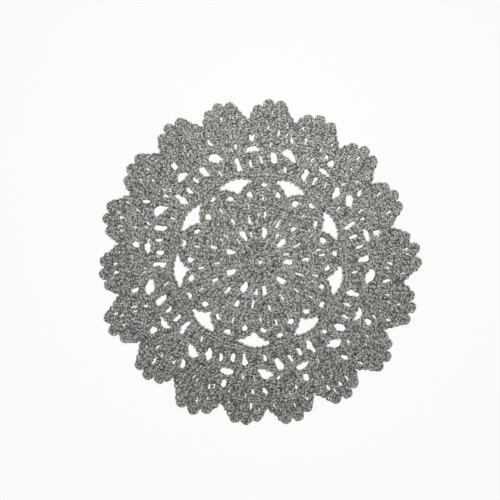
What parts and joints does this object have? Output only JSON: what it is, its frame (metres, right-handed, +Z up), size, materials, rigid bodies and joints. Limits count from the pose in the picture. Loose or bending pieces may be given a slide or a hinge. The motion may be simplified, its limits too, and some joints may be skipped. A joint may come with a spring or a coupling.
{
  "type": "round crochet table centre",
  "caption": "Flat round openwork crochet mat with a petal centre, a ring of arched openings and a scalloped picot edge, laid under a vase, lamp or dish.",
  "frame": {"origin": "middle of the outline's box, on the underside that lies on the table", "axes": "+Z up out of the right side of the work, +Y towards the top of the picture, +X to its right"},
  "size_m": [0.38, 0.3837, 0.005],
  "materials": {
    "marled_yarn": "matt marled grey cotton yarn, light and dark plies twisted together"
  },
  "bodies": {
    "root": {"crochet_doily": "marled_yarn"}
  },
  "joints": []
}
